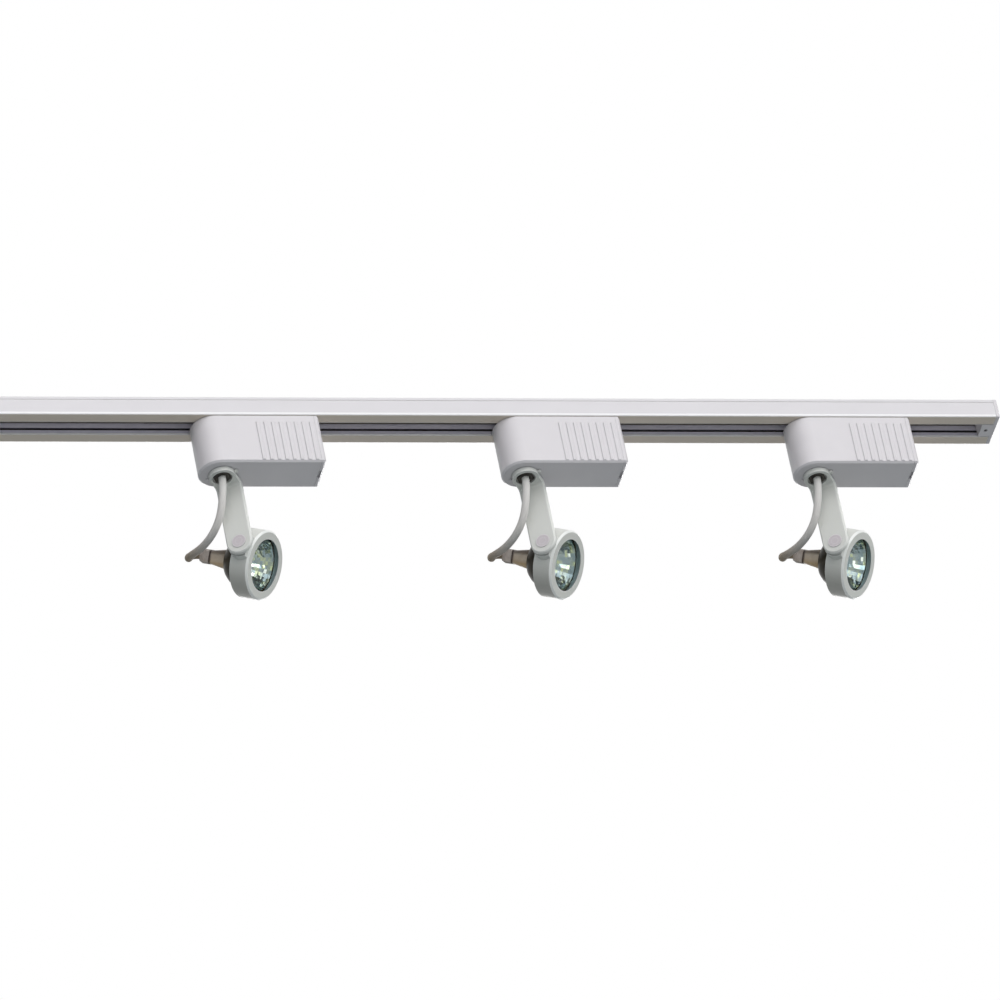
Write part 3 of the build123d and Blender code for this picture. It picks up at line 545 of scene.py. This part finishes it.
def clear_glass(name, tint, roughness):
    """Clear glass that lets the lamps' light through to what is behind it."""
    shader = Shader(name, tint, roughness)
    shader.set("Transmission Weight", 1.0)
    shader.set("IOR", GLASS_IOR)
    shader.wire("Roughness", shader.spread(shader.noise(300.0), roughness, roughness + 0.02))
    path = shader.nodes.new("ShaderNodeLightPath")
    through = shader.nodes.new("ShaderNodeBsdfTransparent")
    through.inputs["Color"].default_value = (*tint, 1.0)
    choose_shader(shader.material.node_tree, path.outputs["Is Shadow Ray"],
                  shader.principled.outputs["BSDF"], through.outputs["BSDF"], "Material Output")
    return shader.material


def ceramic(name, colour, shade, roughness):
    """Unglazed ceramic or silicone: matt, with a fine grain and a few dark specks."""
    shader = Shader(name, colour, roughness)
    tone = shader.ramp(shader.noise(260.0, detail=5.0), (0.32, shade), (0.6, colour))
    # Darker in corners: dust and painted shade
    shader.wire("Base Color", shader.corner_dirt_and_shade(tone, **CERAMIC_DIRT_AND_SHADE))
    shader.bump(shader.noise(2200.0, detail=4.0), strength=0.25, distance=0.0001, edge=0.0004)
    return shader.material


def slot_name(material):
    """The name of the slot that a material belongs to."""
    return material.name.split(".")[0]


# Each material by the slot that it dresses
SLOT_MATERIALS = (
    enamel("track_enamel", (0.76, 0.74, 0.76), (0.74, 0.72, 0.74), roughness=0.34, edge=0.0006,
           below=TRACK_PAINTED_SHADE_BELOW, highlight_strip=TRACK_PAINTED_HIGHLIGHT),
    # The insulator turns to nearly black painted shade in the slot's groove
    moulded_plastic("insulator", (0.9, 0.87, 0.98), (0.83, 0.8, 0.92), roughness=0.4, edge=0.0002,
                    dirt_and_shade=GROOVE_PAINTED_SHADE),
    # The copper is nearly black: dark tarnish, and painted shade of the slot's groove
    bare_metal("copper", (0.06, 0.03, 0.02), (0.03, 0.015, 0.01), roughness=0.45, stretch=(0.1, 1, 1)),
    moulded_plastic("white_plastic", (0.75, 0.725, 0.745), (0.73, 0.705, 0.725), roughness=0.38,
                    edge=0.0004),
    # The steel is darkened to painted shade for the hub's hole, and the set screws take it too
    bare_metal("steel", (0.09, 0.087, 0.08), (0.045, 0.042, 0.037), roughness=0.35),
    bare_metal("contact_brass", (0.62, 0.46, 0.2), (0.4, 0.28, 0.12), roughness=0.3),
    moulded_plastic("potting", (0.02, 0.02, 0.022), (0.012, 0.012, 0.014), roughness=0.55, edge=0.0004),
    enamel("head_enamel", *HEAD_TONES, roughness=0.36, edge=0.0005),
    # The rivet's pink tint is the light its head reflects, painted into its colour
    enamel("rivet_enamel", (0.66, 0.61, 0.635), (0.63, 0.58, 0.605), roughness=0.36, edge=0.0003),
    moulded_plastic("washer", (0.05, 0.05, 0.05), (0.035, 0.035, 0.035), roughness=0.5, edge=0.0002),
    braided_sleeve(),
    clear_glass("front_glass", (0.94, 0.98, 0.97), roughness=0.0),
    clear_glass("quartz", (0.96, 0.97, 0.98), roughness=0.02),
    ceramic("ceramic", (0.55, 0.49, 0.45), (0.43, 0.37, 0.32), roughness=0.6),
    ceramic("boot", (0.4, 0.33, 0.27), (0.32, 0.26, 0.2), roughness=0.7),
)
MATERIALS = {slot_name(material): material for material in SLOT_MATERIALS}
LAMP_MATERIALS = (facet_mirror(), reflector_back(), lamp_neck())
RING_MATERIALS = {
    head: enamel(f"ring_enamel_{head}", *HEAD_TONES, roughness=0.36, edge=0.0005, ring=head)
    for head in HEADS
}


def dress_cad_nodes():
    """Every CAD node takes the material of its slot, and each gimbal ring an enamel of its own."""
    for node in frame["nodes"].values():
        slot = slot_name(node.data.materials[0])
        if slot in MATERIALS:
            node.data.materials[0] = MATERIALS[slot]
    for number, material in RING_MATERIALS.items():
        frame["nodes"][f"gimbal_ring_{number}"].data.materials[0] = material


def turned(radius, share):
    """The x and y of a point at a radius and a share of a full turn."""
    angle = 2 * math.pi * share
    return radius * math.cos(angle), radius * math.sin(angle)


def travels_along(points):
    """How far each point is from the first one, along the line of points."""
    travels = [0.0]
    for before, after in zip(points, points[1:]):
        travels.append(travels[-1] + (after - before).length)
    return travels


def skin(body, rings, slot=0, smooth=False):
    """Faces between each ring of corners and the next."""
    for upper, lower in zip(rings, rings[1:]):
        for step in range(len(upper)):
            following = (step + 1) % len(upper)
            face = body.faces.new((upper[step], lower[step], lower[following], upper[following]))
            face.material_index = slot
            face.smooth = smooth


def finished_mesh(name, body):
    """The mesh of a body whose faces are all in place."""
    mesh = bpy.data.meshes.new(name)
    body.to_mesh(mesh)
    body.free()
    return mesh


def cable_line(number):
    """The cable's smooth centreline, as points read from its spline, with the spline's curve removed."""
    arm, lamp = arm_frame(number), lamp_frame(number)
    route = [arm @ Vector(point) for point in CABLE_ROUTE]
    route += [lamp @ Vector((0, 0, depth)) for depth in CABLE_TAIL]
    curve = bpy.data.curves.new("cable_route", "CURVE")
    curve.dimensions = "3D"
    spline = curve.splines.new("NURBS")
    spline.points.add(len(route) - 1)
    for point, place in zip(spline.points, route):
        point.co = (*place, 1.0)
    spline.order_u = CABLE_ORDER
    spline.use_endpoint_u = True
    spline.resolution_u = CABLE_STEPS
    carrier = bpy.data.objects.new("cable_route", curve)
    line = bpy.data.meshes.new_from_object(carrier)
    points = []
    for vertex in line.vertices:
        if not points or (vertex.co - points[-1]).length > CABLE_STEP_LEAST:
            points.append(vertex.co.copy())
    bpy.data.objects.remove(carrier)
    bpy.data.curves.remove(curve)
    bpy.data.meshes.remove(line)
    return points


def weave_height(turn, travel):
    """How high the braid stands, from 0 to 1, at a turn round the cable and a travel along it."""
    first = turn * BRAID_STRANDS + travel / BRAID_PITCH
    second = turn * BRAID_STRANDS - travel / BRAID_PITCH
    over = (math.floor(first) + math.floor(second)) % 2
    ridges = [1 - (2 * (value % 1.0) - 1) ** 2 for value in (first, second)]
    return max(ridges[over], BRAID_UNDER * ridges[1 - over])


def build_cable(number):
    """A braided tube along the cable's line, which bends as the lamp tilts."""
    points = cable_line(number)
    travels = travels_along(points)
    side = Vector((1, 0, 0))
    corners, weave, painted_tip_shade = [], [], []
    for index, (point, travel) in enumerate(zip(points, travels)):
        ahead = points[min(index + 1, len(points) - 1)] - points[max(index - 1, 0)]
        tangent = ahead.normalized()
        side = (side - tangent * side.dot(tangent)).normalized()
        other = tangent.cross(side)
        for step in range(CABLE_SIDES):
            turn = step / CABLE_SIDES
            height = weave_height(turn, travel)
            out, up = turned(CABLE_DIAMETER / 2 - BRAID_HEIGHT * (1 - height), turn)
            corners.append(point + side * out + other * up)
            weave.append(height)
            # How far along the cable, which the painted shade at the lampholder end follows
            painted_tip_shade.append(travel / travels[-1])
    faces = []
    last = (len(points) - 1) * CABLE_SIDES
    for low in range(0, last, CABLE_SIDES):
        high = low + CABLE_SIDES
        for step in range(CABLE_SIDES):
            following = (step + 1) % CABLE_SIDES
            faces.append((low + step, low + following, high + following, high + step))
    faces.append(tuple(reversed(range(CABLE_SIDES))))
    faces.append(tuple(range(last, last + CABLE_SIDES)))
    mesh = bpy.data.meshes.new(f"sleeved_cable_{number}")
    mesh.from_pydata(corners, [], faces)
    mesh.shade_smooth()
    for name, values in (("weave", weave), ("painted_tip_shade", painted_tip_shade)):
        mesh.attributes.new(name, "FLOAT", "POINT").data.foreach_set("value", values)
    cable = new_piece(f"sleeved_cable_{number}", mesh, [MATERIALS["sleeve"]])
    arm = arm_frame(number)
    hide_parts(f"lamp_cable_{number}")
    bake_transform(cable, f"arm_{number}", f"lamp_{number}",
             start=arm @ Vector(CABLE_BEND_START), end=arm @ Vector(CABLE_BEND_END))


def dish_rows():
    """The radius and height of each row of facet corners, at even steps along the bowl's curve."""
    curve = []
    for sample in range(DISH_SAMPLES + 1):
        radius = DISH_RADIUS + (DISH_THROAT - DISH_RADIUS) * sample / DISH_SAMPLES
        depth = DISH_DEPTH * (1 - (radius / DISH_RADIUS) ** DISH_POWER)
        curve.append(Vector((radius, DISH_FRONT - depth)))
    travels = travels_along(curve)
    rows = []
    for row in range(FACET_ROWS + 1):
        wanted = travels[-1] * row / FACET_ROWS
        rows.append(min(zip(travels, curve), key=lambda pair: abs(pair[0] - wanted))[1])
    return rows


def add_facets(body, place, chance):
    """Uneven facets, each with a painted reflection tint of its own, a few white painted glints, and the
    throat in dark painted shade. Gives back the rim's corners.
    """
    tint = body.faces.layers.float["facet"]
    corners = []
    for radius, height in dish_rows():
        ring = []
        for column in range(FACET_COLUMNS):
            uneven = height + chance.uniform(-FACET_UNEVEN, FACET_UNEVEN)
            ring.append(place((*turned(radius, column / FACET_COLUMNS), uneven)))
        corners.append(ring)
    for outer, inner in zip(corners, corners[1:]):
        for column in range(FACET_COLUMNS):
            following = (column + 1) % FACET_COLUMNS
            face = body.faces.new((outer[column], outer[following], inner[following], inner[column]))
            face[tint] = chance.random() * FACET_DULL
    body.faces.ensure_lookup_table()
    # Painted glints: a few facets turn white
    for glint in range(PAINTED_GLINTS):
        row = 1 + glint % (FACET_ROWS - 2)
        facet = row * FACET_COLUMNS + chance.randrange(FACET_COLUMNS)
        body.faces[facet][tint] = PAINTED_GLINT_TINT
    # The throat takes a dark tint of painted shade
    throat = body.faces.new(list(reversed(corners[-1])))
    throat[tint] = THROAT_PAINTED_SHADE
    return corners[0]


def add_back(body, place, rim):
    """The smooth back of the bowl, and the lip that joins it to the rim of the facets."""
    rings = []
    for radius, depth in BACK_PROFILE:
        shares = [step / BACK_SEGMENTS for step in range(BACK_SEGMENTS)]
        rings.append([place((*turned(radius, share), depth)) for share in shares])
    skin(body, rings, BACK_SLOT, smooth=True)
    steps = BACK_SEGMENTS // FACET_COLUMNS
    for column in range(FACET_COLUMNS):
        outer = [rings[0][(column * steps + step) % BACK_SEGMENTS] for step in range(steps + 1)]
        lip = body.faces.new([rim[column], *outer, rim[(column + 1) % FACET_COLUMNS]])
        lip.material_index = BACK_SLOT


def rounded_rectangle(width, height, corner):
    """The outline of a rectangle with round corners, from the right side round to it again."""
    outline = []
    for quarter, (sign_x, sign_y) in enumerate(((1, 1), (-1, 1), (-1, -1), (1, -1))):
        middle = Vector((sign_x * (width / 2 - corner), sign_y * (height / 2 - corner)))
        for step in range(NECK_CORNER_STEPS + 1):
            share = (quarter + step / NECK_CORNER_STEPS) / 4
            outline.append(middle + Vector(turned(corner, share)))
    return outline


def add_neck(body, place, rise):
    """A rounded block that tapers to the lampholder, and knows how high its corners are at rest."""
    neck_height = body.verts.layers.float["neck_height"]
    neck_travel = body.verts.layers.float["neck_travel"]
    outlines = []
    for row in range(NECK_ROWS + 1):
        share = row / NECK_ROWS
        width, height, depth = (a + (b - a) * share for a, b in zip(NECK_ROOT, NECK_TIP))
        outline = []
        for point in rounded_rectangle(width, height, NECK_CORNER):
            corner = place((*point, depth))
            corner[neck_height] = 0.5 + rise.dot(point) / NECK_SPAN
            corner[neck_travel] = share
            outline.append(corner)
        outlines.append(outline)
    skin(body, outlines, NECK_SLOT, smooth=True)
    end = body.faces.new(list(reversed(outlines[-1])))
    end.material_index = NECK_SLOT


def build_reflector(number):
    """The faceted bowl, its glass back and its flat neck, as one piece."""
    body = bmesh.new()
    body.faces.layers.float.new("facet")
    body.verts.layers.float.new("neck_height")
    body.verts.layers.float.new("neck_travel")
    to_object = lamp_frame(number)
    rise = (to_object.to_3x3().transposed() @ UP).to_2d().normalized()

    def place(point):
        return body.verts.new(to_object @ Vector(point))

    rim = add_facets(body, place, random.Random(number))
    add_back(body, place, rim)
    add_neck(body, place, rise)
    mesh = finished_mesh(f"faceted_reflector_{number}", body)
    reflector = new_piece(f"faceted_reflector_{number}", mesh, LAMP_MATERIALS)
    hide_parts(f"lamp_reflector_{number}")
    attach(reflector, f"lamp_{number}")


def build_end_screws():
    """Both set screws in one piece, each with a chamfered end and a hexagon socket."""
    body = bmesh.new()
    round_section = [1.0] * SCREW_SEGMENTS
    hexagon = []
    for step in range(SCREW_SEGMENTS):
        from_flat = (2 * math.pi * step / SCREW_SEGMENTS) % (math.pi / 3) - math.pi / 6
        hexagon.append(1 / math.cos(from_flat))
    levels = (
        (round_section, SCREW_RADIUS, SCREW_TOP),
        (round_section, SCREW_RADIUS, SCREW_BOTTOM + SCREW_EDGE),
        (round_section, SCREW_RADIUS - SCREW_EDGE, SCREW_BOTTOM),
        (hexagon, SOCKET_APOTHEM, SCREW_BOTTOM),
        (hexagon, SOCKET_APOTHEM, SCREW_BOTTOM + SOCKET_DEPTH),
    )
    for middle in (-SCREW_X, SCREW_X):
        rings = []
        for section, radius, height in levels:
            ring = []
            for step, reach in enumerate(section):
                x, y = turned(radius * reach, step / SCREW_SEGMENTS)
                ring.append(body.verts.new((middle + x, y, height)))
            rings.append(ring)
        skin(body, rings)
        body.faces.new(rings[0])
        body.faces.new(list(reversed(rings[-1])))
    mesh = finished_mesh("socket_screws", body)
    screws = new_piece("socket_screws", mesh, [MATERIALS["steel"]])
    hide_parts("end_screws")
    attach(screws, "track")


def build_camera():
    """The camera looks up at the track, turned so that the track runs level across the picture."""
    azimuth, elevation = math.radians(CAMERA_AZIMUTH), math.radians(CAMERA_ELEVATION)
    back = Vector((math.sin(azimuth) * math.cos(elevation), -math.cos(azimuth) * math.cos(elevation),
                   math.sin(elevation)))
    up = back.cross(Vector((1, 0, 0))).normalized()
    right = up.cross(back)
    turn = Matrix((right, up, back)).transposed() @ Matrix.Rotation(math.radians(CAMERA_ROLL), 3, "Z")
    place = Matrix.Translation(Vector(CAMERA_TARGET) + back * CAMERA_DISTANCE)
    data = bpy.data.cameras.new("camera")
    data.lens = CAMERA_LENS
    data.clip_end = CAMERA_CLIP
    camera = bpy.data.objects.new("camera", data)
    camera.matrix_world = place @ turn.to_4x4()
    bpy.context.scene.collection.objects.link(camera)
    bpy.context.scene.camera = camera


def new_light(name, kind, direction, colour, strength):
    """A light in the scene that shines from this direction."""
    data = bpy.data.lights.new(name, kind)
    data.color = colour
    data.energy = strength
    light = bpy.data.objects.new(name, data)
    light.rotation_mode = "QUATERNION"
    light.rotation_quaternion = Vector(direction).to_track_quat("Z", "Y")
    bpy.context.scene.collection.objects.link(light)
    return light


def build_lights():
    """Soft suns, and a square softbox low in front, which reaches under the track."""
    for name, (direction, colour, strength, spread) in SUNS.items():
        sun = new_light(name, "SUN", direction, colour, strength)
        sun.data.angle = math.radians(spread)
    softbox = new_light("softbox", "AREA", SOFTBOX_FROM, SOFTBOX_COLOUR, SOFTBOX_POWER)
    softbox.data.size = SOFTBOX_SIZE
    softbox.location = SOFTBOX_FROM
    softbox.visible_camera = False


def seen_directly(tree):
    """1 for camera, glossy and transmission rays, and 0 for the rest."""
    path = tree.nodes.new("ShaderNodeLightPath")
    total = path.outputs["Is Camera Ray"]
    for name in ("Is Glossy Ray", "Is Transmission Ray"):
        node = tree.nodes.new("ShaderNodeMath")
        node.operation = "MAXIMUM"
        tree.links.new(total, node.inputs[0])
        tree.links.new(path.outputs[name], node.inputs[1])
        total = node.outputs["Value"]
    return total


def build_world():
    """A white background, and an even dim light on the object."""
    world = bpy.data.worlds.new("studio")
    world.use_nodes = True
    bpy.context.scene.world = world
    tree = world.node_tree
    ambient = tree.nodes["Background"]
    ambient.inputs["Color"].default_value = (*AMBIENT, 1.0)
    ambient.inputs["Strength"].default_value = AMBIENT_STRENGTH
    white = tree.nodes.new("ShaderNodeBackground")
    white.inputs["Color"].default_value = (1, 1, 1, 1)
    choose_shader(tree, seen_directly(tree), ambient.outputs["Background"],
                  white.outputs["Background"], "World Output")


def build_floor():
    """A plain white floor far below, lower than the camera."""
    half = FLOOR_SIZE / 2
    corners = [(x * half, y * half, FLOOR_Z) for x, y in ((-1, -1), (1, -1), (1, 1), (-1, 1))]
    mesh = bpy.data.meshes.new("floor")
    mesh.from_pydata(corners, [], [(0, 1, 2, 3)])
    shader = Shader("floor", FLOOR_COLOUR, FLOOR_ROUGHNESS)
    tree = shader.material.node_tree
    white = tree.nodes.new("ShaderNodeEmission")
    choose_shader(tree, seen_directly(tree), shader.principled.outputs["BSDF"],
                  white.outputs["Emission"], "Material Output")
    new_piece("floor", mesh, [shader.material])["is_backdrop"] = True


build_camera()
build_world()
build_floor()
build_lights()
bpy.context.scene.view_settings.view_transform = "Standard"

dress_cad_nodes()
build_end_screws()
for head in HEADS:
    build_cable(head)
    build_reflector(head)

boxes = {"cad": CAD_BOX, "visual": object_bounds()}
{name: [list(corner) for corner in box] for name, box in boxes.items()}
